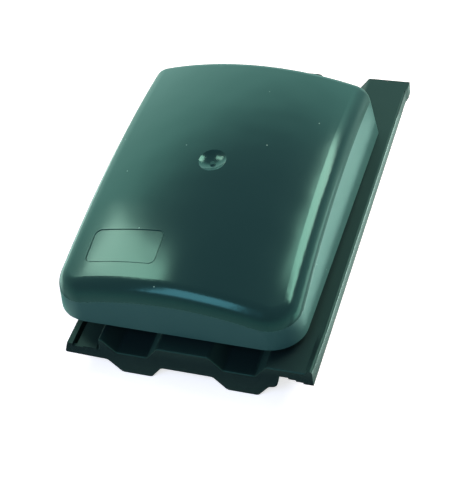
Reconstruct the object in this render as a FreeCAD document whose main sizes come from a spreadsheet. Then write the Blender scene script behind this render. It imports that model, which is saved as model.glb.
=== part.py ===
import FreeCAD, Part
import os
import Sketcher

# Roof tile vent: an interlocking tile plate with two troughs and a duct collar, an insect
# grille in the collar, and a crowned hood that stands on four pegs over the opening.
# Working frame: X across the tile, Y up the slope from the nose, Z = 0 on the tile's crests.
# The finished pieces are moved so that the origin is under the middle of the plate's length and
# halfway between the hood's left edge and the plate's right edge, at the height of the skirt's foot.

SIZES = [
    ("tile_length", 381, "nose to head of the plate"),
    ("tile_width", 229, "outer edge of the left lap to outer edge of the right lap"),
    ("base_wall", 2.8, "moulded wall of the plate"),
    ("crest_shift", -2.3, "middle crest from the plate's centre line"),
    ("lap_share", 29, "width that the next tile covers, so the rest holds two troughs"),
    ("trough_depth", 15.2, "crest to trough floor"),
    ("floor_share", 0.285, "flat floor of a trough, as a share of the troughs' spacing"),
    ("slope_share", 0.115, "width of a trough's sloping side, as a share of the spacing"),
    ("crest_round", 4, "rounding along the crests and trough floors"),
    ("skirt_drop", 27.2, "height of the nose skirt"),
    ("skirt_wall", 3, "thickness of the nose skirt"),
    ("skirt_round", 5, "rounding of the skirt's lower corners"),
    ("nose_round", 8, "large rounding at the skirt's right end"),
    ("nose_lean", 4, "lean of the skirt's right end, over its height"),
    ("nose_flare", 4.9, "skirt's left lower corner beyond the plate's left edge"),
    ("flare_rise", 1.3, "that corner above the skirt's lowest edge"),
    ("flare_round", 1.5, "rounding of that corner"),
    ("lip_round", 1.2, "rounding along the skirt's top front edge"),
    ("lap_drop", 15, "crest to the floor of the left lap"),
    ("rib_drop", 12, "crest to the top of the left lap's rib"),
    ("rib_width", 5.2, "rib along the plate's left edge"),
    ("groove_width", 3, "drain groove beside the rib"),
    ("groove_depth", 8, "depth of the drain groove below the lap's floor"),
    ("shoulder_width", 6, "foot of the shoulder between the left lap and the first trough"),
    ("shoulder_lean", 3, "run of the shoulder's left side"),
    ("shoulder_round", 1, "rounding along the shoulder's left side"),
    ("shoulder_core", 3.6, "crest to the hollow under the shoulder"),
    ("stop_length", 13, "stop pad on the left lap, across the tile"),
    ("stop_depth", 5, "stop pad, up the slope"),
    ("stop_height", 1.6, "stop pad's height"),
    ("stop_inset", 15.5, "plate's left edge to the stop pad"),
    ("cover_gap", 11.05, "second trough to the right lap, which covers the next tile"),
    ("cover_drop", 14.5, "depth of the right lap's outer rim"),
    ("cover_wall", 3, "thickness of the right lap's outer rim"),
    ("cover_step", 1.7, "each step of the right lap's front edge"),
    ("cover_rib_first", 9, "outer edge to the first rib under the right lap"),
    ("cover_rib_pitch", 6.5, "spacing of the ribs under the right lap"),
    ("cover_rib_wall", 2.2, "thickness of those ribs"),
    ("bead_width", 2.6, "flat top of the bead at the nose end of the right edge"),
    ("bead_ramp", 4, "run of the bead's sloping side"),
    ("bead_height", 4.2, "bead's height at the nose"),
    ("bead_length", 46, "length over which the bead falls to nothing"),
    ("bead_round", 2, "rounding along the plate's right edge, bead included"),
    ("head_swell", 1.6, "how far the rim swells out at the head"),
    ("swell_length", 8, "length of the swelling"),
    ("swell_fade", 7, "length over which it fades out"),
    ("nail_radius", 2.5, "nail hole"),
    ("nail_spacing", 28, "one nail hole to the other"),
    ("nail_inset", 15, "nail holes from the head"),
    ("nib_width", 24, "batten nib, across the tile"),
    ("nib_depth", 8, "batten nib, up the slope"),
    ("nib_height", 14, "batten nib below the trough"),
    ("nib_inset", 27, "head to the batten nib's lower face"),
    ("duct_radius", 55.3, "bore of the duct collar"),
    ("duct_wall", 4, "wall of the duct collar"),
    ("duct_top", 25, "collar above the crests"),
    ("duct_bottom", 33, "collar below the crests"),
    ("ledge_width", 2, "ledge in the collar that carries the grille"),
    ("grille_thick", 2, "thickness of the grille"),
    ("grille_clear", 0.2, "gap round the grille"),
    ("grille_ring", 6, "width of the grille's rim"),
    ("slat_width", 2, "one slat of the grille"),
    ("slat_pitch", 6, "spacing of the slats"),
    ("slat_count", 17, "number of slats"),
    ("brace_width", 4, "cross bar of the grille"),
    ("leg_spread", 52, "hood's centre to a leg, across and along"),
    ("leg_width", 12, "width of a leg's crossed webs"),
    ("leg_web", 2.5, "thickness of a leg's webs"),
    ("post_radius", 8, "socket post on the plate"),
    ("post_top", 6, "socket post above the crests"),
    ("peg_radius", 4, "peg below each leg"),
    ("peg_length", 13, "length of a peg"),
    ("peg_clear", 0.15, "gap round a peg"),
    ("socket_spare", 1, "socket deeper than the peg"),
    ("hood_shift", -14, "hood's centre line from the plate's centre line"),
    ("vent_middle", 159, "nose to the middle of the duct and the dish"),
    ("hood_width", 232, "hood across its base"),
    ("hood_front", 10.7, "nose to the hood's front wall at the base"),
    ("hood_back", 307, "nose to the hood's back wall at the base"),
    ("hood_height", 79.3, "crests to the top of the hood"),
    ("hood_wall", 2.5, "moulded wall of the hood"),
    ("side_lean", 6.6, "lean of the hood's side walls in degrees"),
    ("front_lean", 2.7, "lean of the hood's front wall in degrees"),
    ("back_lean", 3.4, "lean of the hood's back wall in degrees"),
    ("crown_radius", 326, "curve of the hood's top, across"),
    ("bow_radius", 900, "curve of the hood's top, along"),
    ("bow_peak", 211, "nose to the highest point of the hood's top"),
    ("top_round", 20, "rounding between the hood's top and its walls"),
    ("corner_round", 31, "rounding of the front corners in plan"),
    ("back_round", 8.5, "rounding round the back wall"),
    ("front_gap", 9.3, "crests to the hood's front lip"),
    ("drip_wall", 2.2, "drip rib behind the front lip"),
    ("drip_height", 11, "height of the drip rib"),
    ("drip_drop", 1.6, "drip rib below the lip"),
    ("dish_radius", 13, "moulded dish in the middle of the top"),
    ("dish_depth", 4, "depth of the dish"),
    ("dish_backing", 2.5, "wall round and under the dish"),
    ("nub_radius", 2.2, "nub in the dish"),
    ("nub_height", 1.4, "height of the nub"),
    ("panel_width", 68.5, "recessed panel on the top, across"),
    ("panel_length", 34.5, "recessed panel, along"),
    ("panel_round", 6.5, "panel's corner rounding"),
    ("panel_depth", 0.3, "depth of the panel"),
    ("panel_left", 30.5, "hood's left base edge to the panel"),
    ("panel_front", 31.5, "hood's front base edge to the panel"),
    ("line_width", 1, "groove round the panel"),
    ("line_depth", 0.8, "depth of that groove"),
]

doc = FreeCAD.newDocument("roof_tile_vent")
sheet = doc.addObject("Spreadsheet::Sheet", "dim")
for row, (alias, number, meaning) in enumerate(SIZES, 1):
    sheet.set("A%d" % row, alias)
    sheet.set("B%d" % row, str(number))
    sheet.set("C%d" % row, meaning)
    sheet.setAlias("B%d" % row, alias)
doc.recompute()


def size(alias):
    """A driving size as a number, for what can't be bound to the sheet."""
    return float(sheet.get(alias))


# Places that several features share, written once in terms of the sizes.
EDGE = "dim.tile_width / 2"
PITCH = "(dim.tile_width - dim.lap_share) / 2"
TROUGHS = ["(dim.crest_shift - %s / 2)" % PITCH, "(dim.crest_shift + %s / 2)" % PITCH]
FLOOR = "dim.floor_share / 2 * " + PITCH
SLOPE = "(dim.slope_share * %s)" % PITCH
SIDE = "(%s + %s)" % (FLOOR, SLOPE)
SHOULDER = "(%s - %s)" % (TROUGHS[0], SIDE)
COVER_LEFT = "(%s + %s + dim.cover_gap)" % (TROUGHS[1], SIDE)
GROOVE_LEFT = "(-%s + dim.rib_width)" % EDGE
GROOVE_RIGHT = "(%s + dim.groove_width)" % GROOVE_LEFT
GROOVE_FLOOR = "-(dim.lap_drop + dim.groove_depth)"
MITRE = "dim.base_wall * tan(atan(dim.trough_depth / %s) / 2)" % SLOPE
SHOULDER_LEFT = "%s - dim.shoulder_width" % SHOULDER
HOOD_X = "dim.hood_shift"
HOOD_Y = "dim.vent_middle"
LEDGE = "(dim.duct_top - dim.grille_thick)"
RISE = "(dim.hood_height + dim.top_round)"
PEAK_RUN = "(dim.bow_peak - dim.vent_middle)"
DISH_TOP = "(dim.hood_height - dim.bow_radius + sqrt(dim.bow_radius * dim.bow_radius - %s * %s))" % (
    PEAK_RUN, PEAK_RUN)
DISH_BALL = "(dim.dish_radius * dim.dish_radius + dim.dish_depth * dim.dish_depth) / (2 * dim.dish_depth)"


def new_body(name):
    """An empty body."""
    return doc.addObject("PartDesign::Body", name)


def new_sketch(body, role, name, lift="0 mm"):
    """A sketch on one of the body's own planes, lifted along the plane's normal."""
    sketch = body.newObject("Sketcher::SketchObject", name)
    plane = [item for item in body.Origin.OriginFeatures if item.Role == role][0]
    sketch.AttachmentSupport = (plane, [""])
    sketch.MapMode = "FlatFace"
    sketch.setExpression("AttachmentOffset.Base.z", lift)
    return sketch


def tie(sketch, geometry, point, across, up):
    """Ties one point of a sketch to expressions for its two coordinates."""
    for kind, place in (("DistanceX", across), ("DistanceY", up)):
        index = sketch.addConstraint(Sketcher.Constraint(kind, geometry, point, 1.0))
        sketch.setExpression("Constraints[%d]" % index, place)


def outline(sketch, corners):
    """A closed outline with straight sides, each corner a pair of expressions."""
    first = len(sketch.Geometry)
    count = len(corners)
    ring = Part.makeCircle(1.0).discretize(count + 1)
    for index in range(count):
        sketch.addGeometry(Part.LineSegment(ring[index], ring[index + 1]), False)
    for index in range(count):
        after = (index + 1) % count
        sketch.addConstraint(Sketcher.Constraint("Coincident", first + index, 2, first + after, 1))
        tie(sketch, first + index, 1, *corners[index])


def box_outline(sketch, left, right, low, high):
    """A rectangle between four expressions."""
    outline(sketch, [(left, low), (right, low), (right, high), (left, high)])


def circle(sketch, across, up, radius):
    """A circle with its centre and radius bound to expressions."""
    index = sketch.addGeometry(Part.Circle(FreeCAD.Vector(1, 1, 0), FreeCAD.Vector(0, 0, 1), 1), False)
    tie(sketch, index, 3, across, up)
    radial = sketch.addConstraint(Sketcher.Constraint("Radius", index, 1.0))
    sketch.setExpression("Constraints[%d]" % radial, radius)


def pad(body, sketch, name, length, back=False, both=False):
    """Raises a sketch by a length, along its normal, against it or half each way."""
    feature = body.newObject("PartDesign::Pad", name)
    feature.Profile = sketch
    feature.setExpression("Length", length)
    feature.Reversed = back
    if both:
        feature.SideType = "Symmetric"
    doc.recompute()
    return feature


def pocket(body, sketch, name, length):
    """Cuts a sketch into the body, and stops if nothing was removed."""
    before = body.Shape.Volume
    feature = body.newObject("PartDesign::Pocket", name)
    feature.Profile = sketch
    feature.setExpression("Length", length)
    doc.recompute()
    if feature.Shape.Volume > before - 1:
        raise RuntimeError(name + " removes nothing")
    return feature


def corner_places(sketch, indices):
    """Where some corners of an outline lie in the body's frame."""
    return [sketch.Placement.multVec(sketch.Geometry[index].StartPoint) for index in indices]


def edges_through(shape, places, axis, shortest, longest):
    """Names of the straight edges along an axis that run through any of the places."""
    names = []
    for index, edge in enumerate(shape.Edges, 1):
        if edge.Curve.TypeId != "Part::GeomLine" or not shortest <= edge.Length <= longest:
            continue
        start = edge.Vertexes[0].Point
        run = edge.Vertexes[-1].Point - start
        if abs(run.dot(axis)) < 0.999 * edge.Length:
            continue
        for place in places:
            gap = place - start
            if (gap - axis * gap.dot(axis)).Length < 0.01:
                names.append("Edge%d" % index)
                break
    return names


def body_fillet(body, name, names, radius):
    """Rounds named edges of the body's last feature."""
    if not names:
        raise RuntimeError(name + " finds no edge")
    feature = body.newObject("PartDesign::Fillet", name)
    feature.Base = (body.Tip if body.Tip != feature else feature.BaseFeature, names)
    feature.setExpression("Radius", radius)
    doc.recompute()
    return feature


def solid(kind, name, **values):
    """A primitive or boolean with plain properties."""
    item = doc.addObject(kind, name)
    for key, entry in values.items():
        setattr(item, key, entry)
    return item


def bind(item, **bindings):
    """Binds properties of an object, and its place, to expressions."""
    for key, expression in bindings.items():
        target = {"x": "Placement.Base.x", "y": "Placement.Base.y", "z": "Placement.Base.z"}.get(key, key)
        item.setExpression(target, expression)
    return item


ALONG = FreeCAD.Vector(0, 1, 0)
UPRIGHT = FreeCAD.Vector(0, 0, 1)


def trough_line(grow, fall):
    """Corners of the crest line's troughs, left to right, widened and lowered."""
    corners = []
    for trough in TROUGHS:
        corners.append(("%s - %s - %s" % (trough, SIDE, grow), "-(%s)" % fall))
        corners.append(("%s - %s - %s" % (trough, FLOOR, grow), "-(%s) - dim.trough_depth" % fall))
        corners.append(("%s + %s + %s" % (trough, FLOOR, grow), "-(%s) - dim.trough_depth" % fall))
        corners.append(("%s + %s + %s" % (trough, SIDE, grow), "-(%s)" % fall))
    return corners


def plate_section(body):
    """The plate's moulded profile, with the left lap, two troughs and the right lap."""
    sketch = new_sketch(body, "XZ_Plane", "plate_profile")
    under = "-(dim.lap_drop + dim.base_wall)"
    core = "%s - %s + (dim.shoulder_core - dim.base_wall) * %s / dim.trough_depth" % (SHOULDER, MITRE, SLOPE)
    top = [("-" + EDGE, "-dim.rib_drop"), (GROOVE_LEFT, "-dim.rib_drop"), (GROOVE_LEFT, GROOVE_FLOOR)]
    top += [(GROOVE_RIGHT, GROOVE_FLOOR), (GROOVE_RIGHT, "-dim.lap_drop")]
    top += [(SHOULDER_LEFT, "-dim.lap_drop"), (SHOULDER_LEFT + " + dim.shoulder_lean", "0")]
    top += trough_line("0", "0") + [(EDGE, "0")]
    bottom = [(EDGE, "-dim.cover_drop"), (EDGE + " - dim.cover_wall", "-dim.cover_drop")]
    bottom += [(EDGE + " - dim.cover_wall", "-dim.base_wall")]
    bottom += reversed(trough_line(MITRE, "dim.base_wall")[1:])
    bottom += [(core, "-dim.shoulder_core"), (SHOULDER_LEFT + " + dim.base_wall", under)]
    bottom += [(GROOVE_RIGHT + " + dim.base_wall", under)]
    bottom += [(GROOVE_RIGHT + " + dim.base_wall", GROOVE_FLOOR + " - dim.base_wall")]
    bottom += [("-" + EDGE, GROOVE_FLOOR + " - dim.base_wall")]
    outline(sketch, top + bottom)
    pad(body, sketch, "plate", "dim.tile_length", back=True)
    return corner_places(sketch, [6]), corner_places(sketch, range(7, 15))


def nose_skirt(body):
    """The upright skirt across the nose, whose lower edge repeats the troughs."""
    sketch = new_sketch(body, "XZ_Plane", "skirt_profile")
    top = [("-" + EDGE, "-dim.rib_drop"), (GROOVE_LEFT, "-dim.rib_drop"), (GROOVE_LEFT, "-dim.lap_drop")]
    top += [(SHOULDER_LEFT, "-dim.lap_drop"), (SHOULDER_LEFT + " + dim.shoulder_lean", "0")]
    top += trough_line("0", "0") + [(EDGE, "0")]
    steps = [(EDGE, "-dim.cover_drop")]
    for index in range(3):
        across = "%s - dim.cover_rib_first - %d * dim.cover_rib_pitch" % (EDGE, index)
        steps.append((across, "-dim.cover_drop + %d * dim.cover_step" % index))
        steps.append((across, "-dim.cover_drop + %d * dim.cover_step" % (index + 1)))
    steps.append((COVER_LEFT, "-dim.cover_drop + 3 * dim.cover_step"))
    steps.append((COVER_LEFT + " - dim.nose_lean", "-dim.skirt_drop"))
    lower = list(reversed(trough_line("0", "dim.skirt_drop")))
    lower.append(("-%s - dim.nose_flare" % EDGE, "-dim.skirt_drop + dim.flare_rise"))
    outline(sketch, top + steps + lower)
    pad(body, sketch, "skirt", "dim.skirt_wall", back=True)
    count = len(top) + len(steps)
    last = count + len(lower) - 1
    return [corner_places(sketch, span) for span in ([count - 1], [last], range(count, last))]


def edge_bead(body):
    """The bead at the nose end of the right edge, and the rounding along that whole edge."""
    sketches = []
    for name, lift, height in (("bead_nose", "0 mm", "dim.bead_height"), ("bead_end", "-dim.bead_length", "0")):
        sketch = new_sketch(body, "XZ_Plane", name, lift)
        crown = EDGE + " - dim.bead_width"
        foot = crown + " - dim.bead_ramp"
        root = "-dim.base_wall / 2"
        outline(sketch, [(foot, root), (foot, "0"), (crown, height), (EDGE, height), (EDGE, root)])
        sketches.append(sketch)
    loft = body.newObject("PartDesign::AdditiveLoft", "bead")
    loft.Profile = sketches[0]
    loft.Sections = [sketches[1]]
    loft.Ruled = True
    doc.recompute()
    names = []
    for index, edge in enumerate(body.Shape.Edges, 1):
        low, high = [edge.valueAt(end) for end in (edge.FirstParameter, edge.LastParameter)]
        right = min(low.x, high.x) > size("tile_width") / 2 - 0.01
        if right and abs(high.y - low.y) > 1 and min(low.z, high.z) > -0.01:
            names.append("Edge%d" % index)
    body_fillet(body, "bead_rounding", names, "dim.bead_round")


def head_swelling(body):
    """The rim of the right lap is a little thicker at the head."""
    sketch = new_sketch(body, "XY_Plane", "swell_outline", "-dim.cover_drop")
    inner = "%s - dim.cover_wall / 2" % EDGE
    outer = "%s + dim.head_swell" % EDGE
    start = "dim.tile_length - dim.swell_length"
    root = start + " - dim.swell_fade"
    outline(sketch, [(inner, root), (EDGE, root), (outer, start), (outer, "dim.tile_length"),
                     (inner, "dim.tile_length")])
    pad(body, sketch, "swelling", "dim.cover_drop")


def cover_ribs(body):
    """Ribs under the right lap, which reach down into the next tile's left lap."""
    sketch = new_sketch(body, "XZ_Plane", "cover_rib_profile")
    for index in range(3):
        right = "%s - dim.cover_rib_first - %d * dim.cover_rib_pitch" % (EDGE, index)
        low = "-dim.cover_drop + %d * dim.cover_step" % (index + 1)
        box_outline(sketch, right + " - dim.cover_rib_wall", right, low, "-dim.base_wall / 2")
    pad(body, sketch, "cover_rib_set", "dim.tile_length", back=True)


def stop_pad(body):
    """The small stop on the left lap's floor, at the nose."""
    sketch = new_sketch(body, "XY_Plane", "stop_outline", "-dim.lap_drop - dim.base_wall / 2")
    left = "-%s + dim.stop_inset" % EDGE
    box_outline(sketch, left, left + " + dim.stop_length", "0", "dim.stop_depth")
    pad(body, sketch, "stop", "dim.stop_height + dim.base_wall / 2")


def batten_nibs(body):
    """Two nibs under the troughs that hook over the roof batten."""
    top = "-dim.trough_depth - dim.base_wall / 2"
    sketch = new_sketch(body, "XY_Plane", "nib_outline", top)
    low = "dim.tile_length - dim.nib_inset"
    for trough in TROUGHS:
        box_outline(sketch, trough + " - dim.nib_width / 2", trough + " + dim.nib_width / 2",
                    low, low + " + dim.nib_depth")
    pad(body, sketch, "nibs", "dim.nib_height + dim.base_wall / 2", back=True)


def leg_places():
    """The four places where a leg of the hood meets a post of the plate."""
    spots = []
    for across in ("-", "+"):
        for along in ("-", "+"):
            spots.append((HOOD_X + across + "dim.leg_spread", HOOD_Y + along + "dim.leg_spread"))
    return spots


def collar_and_posts(body):
    """The round duct collar through the plate and the posts that carry the hood."""
    collar = new_sketch(body, "XY_Plane", "collar_outline", "-dim.duct_bottom")
    circle(collar, HOOD_X, HOOD_Y, "dim.duct_radius + dim.duct_wall")
    pad(body, collar, "collar", "dim.duct_bottom + dim.duct_top")
    posts = new_sketch(body, "XY_Plane", "post_outline", "-dim.trough_depth - dim.base_wall")
    for across, along in leg_places():
        circle(posts, across, along, "dim.post_radius")
    pad(body, posts, "posts", "dim.trough_depth + dim.base_wall + dim.post_top")


def plate_openings(body):
    """The duct bore, the grille's ledge, the peg sockets and the nail holes."""
    bore = new_sketch(body, "XY_Plane", "bore_outline", "dim.duct_top")
    circle(bore, HOOD_X, HOOD_Y, "dim.duct_radius")
    pocket(body, bore, "bore", "dim.duct_top + dim.duct_bottom")
    ledge = new_sketch(body, "XY_Plane", "ledge_outline", "dim.duct_top")
    circle(ledge, HOOD_X, HOOD_Y, "dim.duct_radius + dim.ledge_width")
    pocket(body, ledge, "ledge", "dim.grille_thick")
    sockets = new_sketch(body, "XY_Plane", "socket_outline", "dim.post_top")
    for across, along in leg_places():
        circle(sockets, across, along, "dim.peg_radius + dim.peg_clear")
    pocket(body, sockets, "sockets", "dim.peg_length + dim.socket_spare")
    nails = new_sketch(body, "XY_Plane", "nail_outline")
    for side in ("-", "+"):
        circle(nails, "dim.crest_shift %s dim.nail_spacing / 2" % side, "dim.tile_length - dim.nail_inset",
               "dim.nail_radius")
    pocket(body, nails, "nails", "dim.base_wall")


def lip_edges(shape, places):
    """Edges where the skirt's front face meets the rounded crest line between the laps."""
    left = min(place.x for place in places) - 0.01
    right = max(place.x for place in places) + 0.01
    names = []
    for index, edge in enumerate(shape.Edges, 1):
        box = edge.BoundBox
        flat = box.YMax < 0.01 and box.ZMin > -size("trough_depth") - 0.01
        if flat and box.XMin > left and box.XMax < right and box.XLength > 0.01:
            names.append("Edge%d" % index)
    return names


def make_base():
    """The base tile, one moulding."""
    body = new_body("base_tile")
    shoulder, crest_line = plate_section(body)
    nose, flare, lower = nose_skirt(body)
    length = size("tile_length")
    for name, places in (("crest", crest_line), ("shoulder", shoulder)):
        names = edges_through(body.Shape, places, ALONG, 0.9 * length, 1.1 * length)
        body_fillet(body, name + "_rounding", names, "dim.%s_round" % name)
    wall = size("skirt_wall")
    for name, places in (("nose", nose), ("flare", flare), ("skirt", lower)):
        names = edges_through(body.Shape, places, ALONG, 0.9 * wall, 1.1 * wall)
        body_fillet(body, name + "_rounding", names, "dim.%s_round" % name)
    body_fillet(body, "lip_rounding", lip_edges(body.Shape, shoulder + crest_line), "dim.lip_round")
    edge_bead(body)
    head_swelling(body)
    cover_ribs(body)
    stop_pad(body)
    batten_nibs(body)
    collar_and_posts(body)
    plate_openings(body)
    return body


def make_grille():
    """The insect grille: a rim with parallel slats and one cross bar."""
    body = new_body("insect_grille")
    outer = "dim.duct_radius + dim.ledge_width - dim.grille_clear"
    rim = new_sketch(body, "XY_Plane", "rim_outline", LEDGE)
    circle(rim, HOOD_X, HOOD_Y, outer)
    circle(rim, HOOD_X, HOOD_Y, outer + " - dim.grille_ring")
    pad(body, rim, "rim", "dim.grille_thick")
    span = "(dim.duct_radius + dim.ledge_width - dim.grille_clear)"
    first = "%s - (dim.slat_count - 1) / 2 * dim.slat_pitch" % HOOD_Y
    slat = new_sketch(body, "XY_Plane", "slat_outline", LEDGE)
    box_outline(slat, "%s - %s" % (HOOD_X, span), "%s + %s" % (HOOD_X, span),
                first + " - dim.slat_width / 2", first + " + dim.slat_width / 2")
    slat_pad = pad(body, slat, "slat", "dim.grille_thick")
    rows = body.newObject("PartDesign::LinearPattern", "slats")
    rows.Originals = [slat_pad]
    rows.Direction = (slat, ["V_Axis"])
    rows.setExpression("Length", "(dim.slat_count - 1) * dim.slat_pitch")
    rows.setExpression("Occurrences", "dim.slat_count")
    body.Tip = rows
    brace = new_sketch(body, "XY_Plane", "brace_outline", LEDGE)
    box_outline(brace, HOOD_X + " - dim.brace_width / 2", HOOD_X + " + dim.brace_width / 2",
                "%s - %s + dim.grille_ring / 2" % (HOOD_Y, span),
                "%s + %s - dim.grille_ring / 2" % (HOOD_Y, span))
    pad(body, brace, "brace", "dim.grille_thick")
    trim = new_sketch(body, "XY_Plane", "trim_outline", LEDGE + " + dim.grille_thick")
    circle(trim, HOOD_X, HOOD_Y, outer)
    circle(trim, HOOD_X, HOOD_Y, "2 * " + span)
    pocket(body, trim, "trim", "dim.grille_thick")
    return body


def crown(name, inset):
    """The doubly curved top of the hood: a large ring whose tube is the curve across."""
    ring = solid("Part::Torus", name)
    ring.Placement.Rotation = FreeCAD.Rotation(ALONG, 90)
    bind(ring, Radius1="dim.bow_radius - dim.crown_radius", Radius2="dim.crown_radius - " + inset,
         x=HOOD_X, y="dim.bow_peak", z="dim.hood_height - dim.bow_radius")
    return ring


def rounded(name, base, names, radius):
    """A fillet of equal radius on some edges of an object."""
    if not names:
        raise RuntimeError(name + " finds no edge")
    item = solid("Part::Fillet", name, Base=base)
    item.Edges = [(index, radius, radius) for index in names]
    doc.recompute()
    return item


def hood_form(name, inset, roundings):
    """A closed, leaning, crowned block: the hood's outside, or its inside when inset."""
    rings = []
    for level, lift in (("base", "0"), ("top", RISE)):
        ring = solid("Sketcher::SketchObject", name + "_" + level)
        bind(ring, z=lift)
        half = "(dim.hood_width / 2 - %s - %s * tan(dim.side_lean))" % (inset, lift)
        box_outline(ring, "%s - %s" % (HOOD_X, half), "%s + %s" % (HOOD_X, half),
                    "dim.hood_front + %s + %s * tan(dim.front_lean)" % (inset, lift),
                    "dim.hood_back - %s - %s * tan(dim.back_lean)" % (inset, lift))
        rings.append(ring)
    block = solid("Part::Loft", name + "_rise", Sections=rings, Solid=True, Ruled=True)
    doc.recompute()
    front = corner_places(rings[0], [0, 1])
    names = []
    for index, edge in enumerate(block.Shape.Edges, 1):
        ends = [vertex.Point for vertex in edge.Vertexes]
        if any((end - place).Length < 0.01 for end in ends for place in front) and edge.BoundBox.ZLength > 1:
            names.append(index)
    corner_radius, top_radius, back_radius = roundings
    cornered = rounded(name + "_cornered", block, names, corner_radius)
    crowned = solid("Part::Common", name + "_crowned", Base=cornered, Tool=crown(name + "_crown", inset))
    doc.recompute()
    top = [face for face in crowned.Shape.Faces if "Toroid" in face.Surface.TypeId][0]
    middle = (size("hood_front") + size("hood_back")) / 2
    brim = [edge for edge in top.Edges if edge.BoundBox.YMin < middle]
    names = [index for index, edge in enumerate(crowned.Shape.Edges, 1) if any(edge.isSame(b) for b in brim)]
    form = rounded(name + "_topped", crowned, names, top_radius)
    if back_radius is None:
        return form
    back = max(form.Shape.Faces, key=lambda face: face.CenterOfMass.y)
    names = []
    for index, edge in enumerate(form.Shape.Edges, 1):
        if any(edge.isSame(other) for other in back.Edges) and edge.BoundBox.ZMax > 1:
            names.append(index)
    return rounded(name + "_backed", form, names, back_radius)


def rim_wedge():
    """What the sloping rim takes off the bottom of the hood."""
    body = new_body("rim_wedge")
    sketch = new_sketch(body, "YZ_Plane", "rim_side")
    ahead = "dim.hood_front - dim.corner_round"
    run = "(dim.hood_back - dim.hood_front)"
    lift = "dim.front_gap * (%s + dim.corner_round) / %s" % (run, run)
    outline(sketch, [("dim.hood_back", "0"), (ahead, lift), (ahead, "-dim.front_gap"),
                     ("dim.hood_back", "-dim.front_gap")])
    pad(body, sketch, "rim_cut", "2 * dim.tile_width", both=True)
    return body


def hood_legs():
    """Four legs of crossed webs under the top, which stand on the plate's posts."""
    body = new_body("leg_webs")
    sketch = new_sketch(body, "XY_Plane", "web_outline", "dim.post_top")
    half = "dim.leg_width / 2"
    web = "dim.leg_web / 2"
    turns = [("-", "-"), ("+", "-"), ("+", "+"), ("-", "+")]
    for across, along in leg_places():
        corners = []
        for sx, sy in turns:
            wide = (across + " %s %s" % (sx, half), along + " %s %s" % (sy, web))
            deep = (across + " %s %s" % (sx, web), along + " %s %s" % (sy, half))
            inner = (across + " %s %s" % (sx, web), along + " %s %s" % (sy, web))
            corners += [wide, inner, deep] if sx == sy else [deep, inner, wide]
        outline(sketch, corners)
    pad(body, sketch, "web_set", "dim.hood_height - dim.post_top")
    return body


def hood_pegs():
    """The four round pegs under the legs."""
    body = new_body("leg_pegs")
    sketch = new_sketch(body, "XY_Plane", "peg_outline", "dim.post_top - dim.peg_length")
    for across, along in leg_places():
        circle(sketch, across, along, "dim.peg_radius")
    pad(body, sketch, "peg_set", "dim.peg_length + dim.leg_width")
    return body


def drip_rib():
    """The straight rib behind the front lip, a little lower than the lip."""
    wide = "(dim.hood_width - 2 * dim.corner_round)"
    item = solid("Part::Box", "drip_rib")
    return bind(item, Length=wide, Width="dim.hood_wall + dim.drip_wall", Height="dim.drip_height",
                x="%s - %s / 2" % (HOOD_X, wide), y="dim.hood_front + dim.hood_wall / 2",
                z="dim.front_gap - dim.drip_drop")


def dish_backing():
    """The thicker disc under the dish."""
    item = solid("Part::Cylinder", "dish_backing")
    return bind(item, Radius="dim.dish_radius + dim.dish_backing", Height="dim.dish_depth + dim.dish_backing",
                x=HOOD_X, y=HOOD_Y, z=DISH_TOP + " - dim.dish_depth - dim.dish_backing")


def dish_ball():
    """The ball whose lower cap is the dish."""
    item = solid("Part::Sphere", "dish_ball")
    return bind(item, Radius=DISH_BALL, x=HOOD_X, y=HOOD_Y,
                z="%s - dim.dish_depth + %s" % (DISH_TOP, DISH_BALL))


def dish_nub():
    """The small nub in the middle of the dish."""
    item = solid("Part::Cylinder", "dish_nub")
    return bind(item, Radius="dim.nub_radius", Height="dim.nub_height + dim.dish_backing / 2",
                x=HOOD_X, y=HOOD_Y, z=DISH_TOP + " - dim.dish_depth - dim.dish_backing / 2")


def panel_column(name, inset, radius):
    """A rounded upright block with the panel's outline, drawn in by the inset."""
    body = new_body(name)
    sketch = new_sketch(body, "XY_Plane", name + "_outline")
    left = "%s - dim.hood_width / 2 + dim.panel_left" % HOOD_X
    low = "dim.hood_front + dim.panel_front"
    box_outline(sketch, "%s + %s" % (left, inset), "%s + dim.panel_width - %s" % (left, inset),
                "%s + %s" % (low, inset), "%s + dim.panel_length - %s" % (low, inset))
    pad(body, sketch, name + "_rise", "dim.hood_height + dim.top_round")
    tall = size("hood_height")
    names = edges_through(body.Shape, corner_places(sketch, range(4)), UPRIGHT, tall, 2 * tall)
    body_fillet(body, name + "_corners", names, radius)
    return body


def panel_cutters():
    """The shallow panel and the groove round it, each of an even depth below the crowned top."""
    outer = panel_column("panel", "0", "dim.panel_round")
    inner = panel_column("panel_inside", "dim.line_width", "dim.panel_round - dim.line_width")
    frame = solid("Part::Cut", "panel_frame", Base=outer, Tool=inner)
    floor = solid("Part::Cut", "panel_cutter", Base=inner, Tool=crown("panel_crown", "dim.panel_depth"))
    line = solid("Part::Cut", "line_cutter", Base=frame, Tool=crown("line_crown", "dim.line_depth"))
    return [floor, line]


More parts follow.
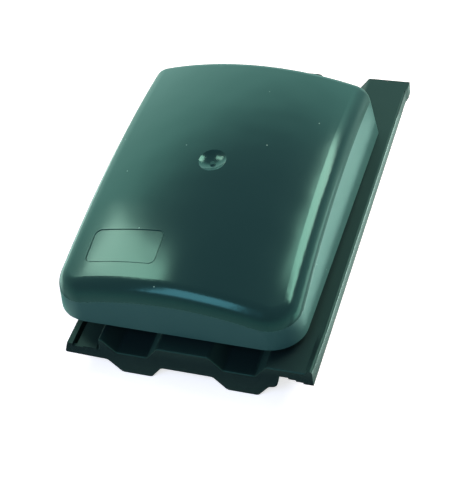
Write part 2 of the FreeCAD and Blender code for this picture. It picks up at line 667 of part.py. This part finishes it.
def make_hood():
    """The hood, one moulding."""
    corner_radius, top_radius, wall = [size(alias) for alias in ("corner_round", "top_round", "hood_wall")]
    outer = hood_form("outer", "0", (corner_radius, top_radius, size("back_round")))
    inner = hood_form("inner", "dim.hood_wall", (corner_radius - wall, top_radius - wall, None))
    trimmed = solid("Part::Cut", "trimmed", Base=outer, Tool=rim_wedge())
    shell = solid("Part::Cut", "shell", Base=trimmed, Tool=inner)
    fittings = solid("Part::MultiFuse", "fittings", Shapes=[hood_legs(), drip_rib(), dish_backing()])
    inside = solid("Part::Common", "inside", Base=outer, Tool=fittings)
    whole = solid("Part::MultiFuse", "whole", Shapes=[shell, inside, hood_pegs()])
    hollows = solid("Part::MultiFuse", "hollows", Shapes=[dish_ball()] + panel_cutters())
    dished = solid("Part::Cut", "dished", Base=whole, Tool=hollows)
    hood = solid("Part::MultiFuse", "hood", Shapes=[dished, dish_nub()])
    doc.recompute()
    return hood


def finish(pieces):
    """Moves the pieces into the object's frame, checks everything and writes the files."""
    left = "(%s - dim.hood_width / 2)" % HOOD_X
    for node, piece in pieces.items():
        piece.Label = node
        bind(piece, x="-(%s + %s) / 2" % (EDGE, left), y="-dim.tile_length / 2",
             z="dim.trough_depth + dim.skirt_drop")
    doc.recompute()
    for item in doc.Objects:
        if "Invalid" in item.State or "Error" in item.State:
            raise RuntimeError("%s is %s" % (item.Name, item.State))
    os.makedirs("parts", exist_ok=True)
    for node, piece in pieces.items():
        shape = piece.Shape
        if shape.isNull() or not shape.isValid() or len(shape.Solids) != 1:
            raise RuntimeError("%s isn't one valid solid" % node)
        shape.exportStep("parts/%s.step" % node)
        print(node, "volume %.0f mm3," % shape.Volume, "box", shape.BoundBox)


finish({"base_tile": make_base(), "insect_grille": make_grille(), "hood": make_hood()})
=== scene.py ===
"""Roof tile vent: finishes of its moulded plastic pieces, and the white studio that it is pictured in."""

import math

import bpy
from mathutils import Matrix, Quaternion, Vector


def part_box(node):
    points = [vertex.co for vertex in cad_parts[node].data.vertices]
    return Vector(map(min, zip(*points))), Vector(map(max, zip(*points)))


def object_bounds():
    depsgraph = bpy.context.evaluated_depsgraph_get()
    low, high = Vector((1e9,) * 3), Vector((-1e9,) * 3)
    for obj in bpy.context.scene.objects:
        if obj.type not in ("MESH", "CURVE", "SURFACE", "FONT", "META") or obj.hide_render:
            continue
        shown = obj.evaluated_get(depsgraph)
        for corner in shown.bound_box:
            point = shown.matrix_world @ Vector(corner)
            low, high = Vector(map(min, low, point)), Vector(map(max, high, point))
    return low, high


bl_info = {
    "name": "Roof Tile Vent",
    "version": (1, 0, 0),
    "blender": (4, 5, 0),
    "location": "View3D > Sidebar > Roof Vent",
    "description": "Finishes a moulded roof tile vent and sets up its studio",
    "category": "Object",
}

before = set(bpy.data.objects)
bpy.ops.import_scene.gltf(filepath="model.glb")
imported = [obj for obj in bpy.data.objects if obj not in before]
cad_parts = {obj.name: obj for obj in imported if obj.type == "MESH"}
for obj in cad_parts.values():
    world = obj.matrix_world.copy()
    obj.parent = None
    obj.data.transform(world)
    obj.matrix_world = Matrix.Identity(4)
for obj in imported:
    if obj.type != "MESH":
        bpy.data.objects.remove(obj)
CAD_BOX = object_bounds()
MM = 0.001


# Colours and shader nodes

def linear(code):
    """The linear colour of an sRGB hex code."""
    shares = [int(code[place:place + 2], 16) / 255 for place in (0, 2, 4)]
    return tuple(s / 12.92 if s <= 0.04045 else ((s + 0.055) / 1.055) ** 2.4 for s in shares)


def add_node(tree, kind, settings=(), **inputs):
    """Adds a shader node with its settings and links.

    An input takes a number, a vector, a colour, another node's output, or a node, which stands for its first
    output. The input's name has _ for a space, or is "at" and its place where a node has several of one name.
    """
    node = tree.nodes.new("ShaderNode" + kind)
    for name, value in dict(settings).items():
        setattr(node, name, value)
    for name, value in inputs.items():
        by_place = name.startswith("at") and name[2:].isdigit()
        socket = node.inputs[int(name[2:]) if by_place else name.replace("_", " ")]
        if isinstance(value, bpy.types.Node):
            value = value.outputs[0]
        if isinstance(value, bpy.types.NodeSocket):
            tree.links.new(value, socket)
        elif socket.type == "RGBA":
            socket.default_value = (*value, 1)
        else:
            socket.default_value = value
    return node


def clear_tree(owner):
    """The node tree of a material or a world, with nothing in it."""
    owner.use_nodes = True
    owner.node_tree.nodes.clear()
    return owner.node_tree


# Finishes

# Sizes of what the plastic's skin shows. The mould's grain of 0.2 mm is too fine to show, so it is drawn at 0.8 mm.
WAVE_SIZE, WAVE_HEIGHT = 25 * MM, 0.35 * MM
GRAIN_SIZE, GRAIN_HEIGHT = 0.8 * MM, 0.02 * MM
HAZE_SIZE = 60 * MM

# Dust: a pattern in space has a speck in those of its cells whose random number is above DUST_RARITY, about one
# in five. Most of them miss the skin. A speck thins out from its core's radius to its own.
DUST_SPACING = 14 * MM
DUST_RARITY = 0.72
SPECK_CORE, SPECK_RADIUS = 0.35 * MM, 0.7 * MM

# How far a normal points up or down, on a scale to 1: less than the first on a wall, more than the second on a slope
WALL_TILT, SLOPE_TILT = 0.12, 0.18


def upright(tree, normal):
    """1 on walls that stand upright, and 0 on slopes and level faces."""
    height = add_node(tree, "SeparateXYZ", Vector=normal).outputs["Z"]
    tilt = add_node(tree, "Math", {"operation": "ABSOLUTE"}, at0=height)
    return add_node(tree, "MapRange", Value=tilt, From_Min=WALL_TILT, From_Max=SLOPE_TILT, To_Min=1, To_Max=0)


def moulded_plastic(name, finish, colour, roughness, haze, wall_roughness, painted_wall_light, sheen, ior):
    """Injection-moulded polypropylene, dark green-black through and through.

    To the eye it is a deep colour under soft wide reflections where the mould is polished. Where the mould has
    the fine eroded texture that lets the part go, the skin is more matt. The skin waves a little where the melt
    shrank, a haze from handling dulls it in clouds, and it holds a few pale specks of dust. The upright walls
    are painted lighter in colour, as painted light that stands in for the light falling on the side walls. Haze
    is the most that the clouds add to the roughness, and painted_wall_light is how many times lighter the
    upright walls are painted.
    """
    material = bpy.data.materials.new(name)
    tree = clear_tree(material)
    coordinates = add_node(tree, "TexCoord")
    place = coordinates.outputs["Object"]

    # Shrinkage waves and the mould's grain
    waves = add_node(tree, "TexNoise", Vector=place, Scale=1 / WAVE_SIZE, Detail=0)
    grain = add_node(tree, "TexNoise", Vector=place, Scale=1 / GRAIN_SIZE, Detail=2)
    waved = add_node(tree, "Bump", Strength=0.5, Distance=WAVE_HEIGHT, Height=waves)
    skin = add_node(tree, "Bump", Strength=0.25, Distance=GRAIN_HEIGHT, Height=grain, Normal=waved)

    # Clouds of handling haze, the upright walls' own roughness, and their colour painted lighter as painted light on
    # the side walls
    clouds = add_node(tree, "TexNoise", Vector=place, Scale=1 / HAZE_SIZE, Detail=1)
    hazy = add_node(tree, "MapRange", Value=clouds, To_Min=roughness, To_Max=roughness + haze)
    wall = upright(tree, coordinates.outputs["Normal"])
    dulled = add_node(tree, "MapRange", Value=wall, To_Min=hazy, To_Max=wall_roughness)
    # Painted light: the upright walls get a lighter colour, standing in for the light that falls on the side walls
    pale = [share * painted_wall_light for share in colour]
    plastic = add_node(tree, "Mix", {"data_type": "RGBA"}, at0=wall, at6=colour, at7=pale)

    # Dust
    cells = add_node(tree, "TexVoronoi", Vector=place, Scale=1 / DUST_SPACING)
    near = add_node(tree, "MapRange", Value=cells, From_Min=SPECK_CORE / DUST_SPACING,
                    From_Max=SPECK_RADIUS / DUST_SPACING, To_Min=1, To_Max=0)
    chosen = add_node(tree, "Math", {"operation": "GREATER_THAN"}, at0=cells.outputs["Color"], at1=DUST_RARITY)
    speck = add_node(tree, "Math", {"operation": "MULTIPLY"}, at0=near, at1=chosen)
    dusty = add_node(tree, "Mix", {"data_type": "RGBA"}, at0=speck, at6=plastic.outputs[2], at7=finish.dust_colour)

    shader = add_node(
        tree, "BsdfPrincipled",
        Base_Color=dusty.outputs[2],
        Roughness=dulled,
        IOR=ior,
        Specular_Tint=finish.sheen_tint,
        Sheen_Weight=sheen,
        Sheen_Roughness=0.5,
        Sheen_Tint=finish.sheen_tint,
        Normal=skin,
    )
    add_node(tree, "OutputMaterial", Surface=shader)
    return material


def dress(node, material):
    """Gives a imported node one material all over."""
    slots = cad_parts[node].material_slots
    if not slots:
        raise RuntimeError(f"node {node} has no material slot")
    for slot in slots:
        slot.material = material


# Settings that a user would change

class RoofVentFinish(bpy.types.PropertyGroup):
    """Colours and gloss of the plastic."""

    hood_colour: bpy.props.FloatVectorProperty(
        name="Hood colour", description="Colour of the hood's plastic", subtype="COLOR",
        default=linear("10222A"), min=0, max=1)
    tile_colour: bpy.props.FloatVectorProperty(
        name="Tile colour", description="Colour of the base tile's plastic", subtype="COLOR",
        default=linear("10191E"), min=0, max=1)
    grille_colour: bpy.props.FloatVectorProperty(
        name="Grille colour", description="Colour of the insect grille's plastic", subtype="COLOR",
        default=linear("16191A"), min=0, max=1)
    dust_colour: bpy.props.FloatVectorProperty(
        name="Dust colour", description="Colour of the specks of dust", subtype="COLOR",
        default=linear("8FB3A6"), min=0, max=1)
    sheen_tint: bpy.props.FloatVectorProperty(
        name="Sheen tint", description="Colour that the skin gives to what it reflects", subtype="COLOR",
        default=linear("9EFFE6"), min=0, max=1)
    hood_roughness: bpy.props.FloatProperty(
        name="Hood roughness", description="Roughness of the hood's skin", subtype="FACTOR",
        default=0.14, min=0, max=1)
    tile_roughness: bpy.props.FloatProperty(
        name="Tile roughness", description="Roughness of the tile's skin", subtype="FACTOR",
        default=0.42, min=0, max=1)
    wall_roughness: bpy.props.FloatProperty(
        name="Wall roughness", description="Roughness of the textured upright walls", subtype="FACTOR",
        default=0.5, min=0, max=1)


class RoofVentStudio(bpy.types.PropertyGroup):
    """Floor, light and camera."""

    floor_size: bpy.props.FloatProperty(
        name="Floor size", description="Side of the square floor", unit="LENGTH", default=12.0, min=1)
    sky: bpy.props.FloatProperty(
        name="Sky", description="Brightness of the light from all round, where 1 is white", default=0.24, min=0)
    backdrop: bpy.props.FloatProperty(
        name="Backdrop", description="How bright the white paper behind the part looks in its gloss",
        default=1.55, min=0)
    walls: bpy.props.FloatProperty(
        name="Walls", description="How bright the room round the part looks in its gloss", default=0.58, min=0)
    ceiling: bpy.props.FloatProperty(
        name="Ceiling", description="How bright the dark upper room looks in its gloss", default=0.25, min=0)
    azimuth: bpy.props.FloatProperty(
        name="Azimuth", description="Camera's direction from the front, to the right", subtype="ANGLE",
        default=math.radians(26.08))
    elevation: bpy.props.FloatProperty(
        name="Elevation", description="Camera's height above the horizon", subtype="ANGLE",
        default=math.radians(45.91))
    roll: bpy.props.FloatProperty(
        name="Roll", description="Camera's turn about its own line of sight", subtype="ANGLE",
        default=math.radians(-11.66))
    distance: bpy.props.FloatProperty(
        name="Distance", description="From the camera to the point that it aims at", unit="LENGTH",
        default=1147.24 * MM, min=0.1)
    aim: bpy.props.FloatVectorProperty(
        name="Aim", description="The point that the camera aims at", subtype="XYZ", unit="LENGTH",
        default=(6.13 * MM, -54.66 * MM, 42.4 * MM))
    lens: bpy.props.FloatProperty(
        name="Lens", description="Focal length on a 36 mm sensor", unit="CAMERA", default=92.63, min=10)


# Studio

LAMP_DISTANCE = 1.3

# Painted reflections: strips of light that only a gloss sees on the paper beside the part, with darker strips
# # between as painted shade: metres from its middle, and the share of the light there. GLOSS_ELSEWHERE is the share
# # in the middle and far away, and GLOSS_HEAD the most beside the head.
GLOSS_STRIPS = ((0.136, 0.05), (0.147, 1), (0.158, 1), (0.163, 0.02), (0.235, 0.02), (0.26, 0.2), (0.8, 0.2))
GLOSS_ELSEWHERE = 0.08
GLOSS_HEAD = 0.08

# Direction of the paper that stands behind the part, from the front round to the right, and the cosines of the
# angles off it between which the paper comes in
PAPER_AZIMUTH = math.radians(-161)
PAPER_EDGE = (0.5, 0.8)

# Sines of the elevations between which the paper and the room darken upwards
PAPER_TOP = (0.5, 0.8)
ROOM_TOP = (0.1, 0.5)


def direction(azimuth, elevation):
    """The unit vector towards a place in the room. Azimuth is from the front round to the right."""
    return Vector((math.sin(azimuth) * math.cos(elevation), -math.cos(azimuth) * math.cos(elevation),
                   math.sin(elevation)))


def softbox(name, target, azimuth, elevation, width, height, brightness, colour, turned=0):
    """A rectangle of light, LAMP_DISTANCE from the target that it faces. Its angles are in degrees, turned is
    its turn about the line to the target, and brightness is what it looks like, where 1 is white."""
    away = direction(math.radians(azimuth), math.radians(elevation))
    light = bpy.data.lights.new(name, "AREA")
    light.shape = "RECTANGLE"
    light.size = width
    light.size_y = height
    # A lamp looks as bright as its power, shared over pi times its area
    light.energy = brightness * math.pi * width * height
    light.color = linear(colour)
    lamp = bpy.data.objects.new(name, light)
    lamp.location = Vector(target) + away * LAMP_DISTANCE
    lamp.rotation_euler = (away.to_track_quat("Z", "Y") @ Quaternion((0, 0, 1), math.radians(turned))).to_euler()
    lamp.visible_camera = False
    bpy.context.scene.collection.objects.link(lamp)


def painted_reflection_strips(tree, brightness):
    """Painted reflections: light that only a gloss sees on the paper, in strips beside the part and a little in front
    of it, with painted shade between them and next to the part.
    """
    place = add_node(tree, "SeparateXYZ", Vector=add_node(tree, "TexCoord").outputs["Object"])
    along = place.outputs["Y"]
    aside = add_node(tree, "Math", {"operation": "ABSOLUTE"}, at0=place.outputs["X"])
    strips = add_node(tree, "ValToRGB", Fac=aside)
    for end in strips.color_ramp.elements:
        end.color = (*[GLOSS_ELSEWHERE] * 3, 1)
    for edge, share in GLOSS_STRIPS:
        strips.color_ramp.elements.new(edge).color = (share, share, share, 1)

    # Held down beside the head, and faded in from the nose
    head = add_node(tree, "MapRange", Value=along, From_Min=0.186, From_Max=0.19, To_Min=1, To_Max=GLOSS_HEAD)
    held = add_node(tree, "Math", {"operation": "MINIMUM"}, at0=strips, at1=head)
    faded = add_node(tree, "MapRange", Value=along, From_Min=-0.22, From_Max=-0.1, To_Max=brightness)

    # In front of the part, with painted shade where a gloss sees none of this light close to it
    front = add_node(tree, "MapRange", Value=along, From_Min=-0.237, From_Max=-0.212, To_Min=0.6, To_Max=0)
    return add_node(tree, "Math", {"operation": "MULTIPLY_ADD"}, at0=faded, at1=held, at2=front)


def white_paper(name, own_light, gloss_light):
    """Matt white background paper, lifted to white where it is looked at, so that only the shadow shows."""
    material = bpy.data.materials.new(name)
    tree = clear_tree(material)
    path = add_node(tree, "LightPath")
    glossy = path.outputs["Is Glossy Ray"]
    # Painted shade: to a gloss the paper is dark grey rather than white, standing in for the shade round the part
    painted_shade_tone = add_node(tree, "Mix", {"data_type": "RGBA"}, at0=glossy, at6=linear("F4F4F4"), at7=linear("303030"))
    surface = add_node(tree, "BsdfDiffuse", Color=painted_shade_tone.outputs[2])

    looked_at = add_node(tree, "Math", {"operation": "MAXIMUM"},
                         at0=path.outputs["Is Camera Ray"], at1=path.outputs["Is Transmission Ray"])
    lift = add_node(tree, "Math", {"operation": "MULTIPLY"}, at0=looked_at, at1=own_light)
    # Painted reflections: strips of glow that only a gloss sees, though the paper is no lamp
    strips = add_node(tree, "Math", {"operation": "MULTIPLY"}, at0=glossy, at1=painted_reflection_strips(tree, gloss_light))
    for strength, colour in ((lift, "FFFFFF"), (strips, "DFFFF5")):
        glow = add_node(tree, "Emission", Color=linear(colour), Strength=strength)
        surface = add_node(tree, "AddShader", at0=surface, at1=glow)
    add_node(tree, "OutputMaterial", Surface=surface)
    return material


def make_floor(size):
    """A square of paper under the part, at the height of its lowest point."""
    half = size / 2
    level = CAD_BOX[0].z
    mesh = bpy.data.meshes.new("floor")
    corners = [(-half, -half, level), (half, -half, level), (half, half, level), (-half, half, level)]
    mesh.from_pydata(corners, [], [(0, 1, 2, 3)])
    mesh.materials.append(white_paper("background_paper", own_light=0.7, gloss_light=11))
    floor = bpy.data.objects.new("floor", mesh)
    bpy.context.scene.collection.objects.link(floor)


def make_world(studio):
    """Even light from all round, seen as white. The gloss sees white paper behind the part, and elsewhere a
    room that darkens upwards."""
    world = bpy.data.worlds.new("studio_sky")
    tree = clear_tree(world)
    path = add_node(tree, "LightPath")
    glossy = path.outputs["Is Glossy Ray"]
    towards = add_node(tree, "TexCoord").outputs["Generated"]
    height = add_node(tree, "SeparateXYZ", Vector=towards).outputs["Z"]

    # What the gloss sees: the paper, the room, and how far the paper reaches round
    paper = add_node(tree, "MapRange", {"interpolation_type": "SMOOTHSTEP"}, Value=height,
                     From_Min=PAPER_TOP[0], From_Max=PAPER_TOP[1], To_Min=studio.backdrop, To_Max=studio.ceiling)
    room = add_node(tree, "MapRange", Value=height,
                    From_Min=ROOM_TOP[0], From_Max=ROOM_TOP[1], To_Min=studio.walls, To_Max=studio.ceiling)
    flat = add_node(tree, "VectorMath", {"operation": "MULTIPLY"}, at0=towards, at1=(1, 1, 0))
    level_towards = add_node(tree, "VectorMath", {"operation": "NORMALIZE"}, at0=flat)
    facing = add_node(tree, "VectorMath", {"operation": "DOT_PRODUCT"}, at0=level_towards,
                      at1=direction(PAPER_AZIMUTH, 0))
    behind = add_node(tree, "MapRange", Value=facing.outputs["Value"], From_Min=PAPER_EDGE[0], From_Max=PAPER_EDGE[1])
    gloss = add_node(tree, "MapRange", Value=behind, To_Min=room, To_Max=paper)

    lit = add_node(tree, "MapRange", Value=glossy, To_Min=studio.sky, To_Max=gloss)
    strength = add_node(tree, "MapRange", Value=path.outputs["Is Camera Ray"], To_Min=lit, To_Max=1)
    cast = add_node(tree, "Mix", {"data_type": "RGBA"}, at0=glossy, at6=linear("FFFFFF"), at7=linear("D4FFF7"))
    sky_light = add_node(tree, "Background", Color=cast.outputs[2], Strength=strength)
    add_node(tree, "OutputWorld", Surface=sky_light)
    bpy.context.scene.world = world


def make_camera(studio):
    """The camera at the photograph's angle."""
    back = direction(studio.azimuth, studio.elevation)
    level_right = Vector((0, 0, 1)).cross(back).normalized()
    level_up = back.cross(level_right)
    right = level_right * math.cos(studio.roll) + level_up * math.sin(studio.roll)
    up = level_up * math.cos(studio.roll) - level_right * math.sin(studio.roll)
    place = Matrix((right, up, back)).transposed().to_4x4()
    place.translation = Vector(studio.aim) + back * studio.distance
    lens = bpy.data.cameras.new("camera")
    lens.lens = studio.lens
    lens.sensor_width = 36
    lens.sensor_fit = "AUTO"
    lens.clip_start = 0.01
    lens.clip_end = 100
    camera = bpy.data.objects.new("camera", lens)
    camera.matrix_world = place
    bpy.context.scene.collection.objects.link(camera)
    bpy.context.scene.camera = camera


# Operators

class ROOFVENT_OT_tile(bpy.types.Operator):
    """Finish the base tile"""

    bl_idname = "roof_vent.tile"
    bl_label = "Finish Tile"

    def execute(self, context):
        finish = context.scene.roof_vent_finish
        # The tile's top has the eroded texture, and its upright sides are smooth
        dress("base_tile", moulded_plastic(
            "tile_polypropylene", finish, finish.tile_colour, roughness=finish.tile_roughness, haze=0.1,
            wall_roughness=0.15, painted_wall_light=1, sheen=0.12, ior=1.5))
        return {"FINISHED"}


class ROOFVENT_OT_hood(bpy.types.Operator):
    """Finish the hood"""

    bl_idname = "roof_vent.hood"
    bl_label = "Finish Hood"

    def execute(self, context):
        finish = context.scene.roof_vent_finish
        # The hood's top is polished, and its upright walls have the eroded texture and a colour painted 2.2 times
        # lighter, as painted light on them
        dress("hood", moulded_plastic(
            "hood_polypropylene", finish, finish.hood_colour, roughness=finish.hood_roughness, haze=0.06,
            wall_roughness=finish.wall_roughness, painted_wall_light=2.2, sheen=0.4, ior=1.6))
        return {"FINISHED"}


class ROOFVENT_OT_grille(bpy.types.Operator):
    """Finish the insect grille"""

    bl_idname = "roof_vent.grille"
    bl_label = "Finish Grille"

    def execute(self, context):
        finish = context.scene.roof_vent_finish
        dress("insect_grille", moulded_plastic(
            "grille_polypropylene", finish, finish.grille_colour, roughness=0.45, haze=0.1,
            wall_roughness=finish.wall_roughness, painted_wall_light=1, sheen=0.1, ior=1.5))
        return {"FINISHED"}


class ROOFVENT_OT_studio(bpy.types.Operator):
    """Lay the floor, hang the lamps and place the camera"""

    bl_idname = "roof_vent.studio"
    bl_label = "Set Up Studio"

    def execute(self, context):
        studio = context.scene.roof_vent_studio
        make_floor(studio.floor_size)
        make_world(studio)
        # Places on the hood that the lamps face
        low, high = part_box("hood")
        top = high.z
        right_edge = (high.x * 0.85, (low.y + high.y) / 2, top)
        front_left = (low.x * 0.7, low.y * 0.75, top)
        front_edge = ((low.x + high.x) / 2, low.y, top)
        softbox("right_softbox", right_edge, azimuth=136, elevation=45, width=0.76, height=0.76,
                brightness=10, colour="FFEAE4", turned=45)
        softbox("left_softbox", front_left, azimuth=-117, elevation=50, width=0.3, height=0.75,
                brightness=7.4, colour="FFEAE4")
        softbox("front_softbox", front_edge, azimuth=-16, elevation=48, width=0.65, height=0.75,
                brightness=4.2, colour="BED2FF")
        make_camera(studio)
        context.scene.view_settings.view_transform = "Standard"
        return {"FINISHED"}


class ROOFVENT_PT_sidebar(bpy.types.Panel):
    """Roof vent tools"""

    bl_idname = "ROOFVENT_PT_sidebar"
    bl_label = "Roof Vent"
    bl_space_type = "VIEW_3D"
    bl_region_type = "UI"
    bl_category = "Roof Vent"

    def draw(self, context):
        for group in (context.scene.roof_vent_finish, context.scene.roof_vent_studio):
            for name in group.__annotations__:
                self.layout.prop(group, name)
        for step in STEPS:
            self.layout.operator(step.bl_idname)


GROUPS = (RoofVentFinish, RoofVentStudio)
STEPS = (ROOFVENT_OT_tile, ROOFVENT_OT_hood, ROOFVENT_OT_grille, ROOFVENT_OT_studio)


def register():
    for part in (*GROUPS, *STEPS, ROOFVENT_PT_sidebar):
        bpy.utils.register_class(part)
    bpy.types.Scene.roof_vent_finish = bpy.props.PointerProperty(type=RoofVentFinish)
    bpy.types.Scene.roof_vent_studio = bpy.props.PointerProperty(type=RoofVentStudio)


def unregister():
    del bpy.types.Scene.roof_vent_studio
    del bpy.types.Scene.roof_vent_finish
    for part in reversed((*GROUPS, *STEPS, ROOFVENT_PT_sidebar)):
        bpy.utils.unregister_class(part)


def main():
    register()
    bpy.ops.roof_vent.tile()
    bpy.ops.roof_vent.hood()
    bpy.ops.roof_vent.grille()
    bpy.ops.roof_vent.studio()


if __name__ == "__main__":
    main()
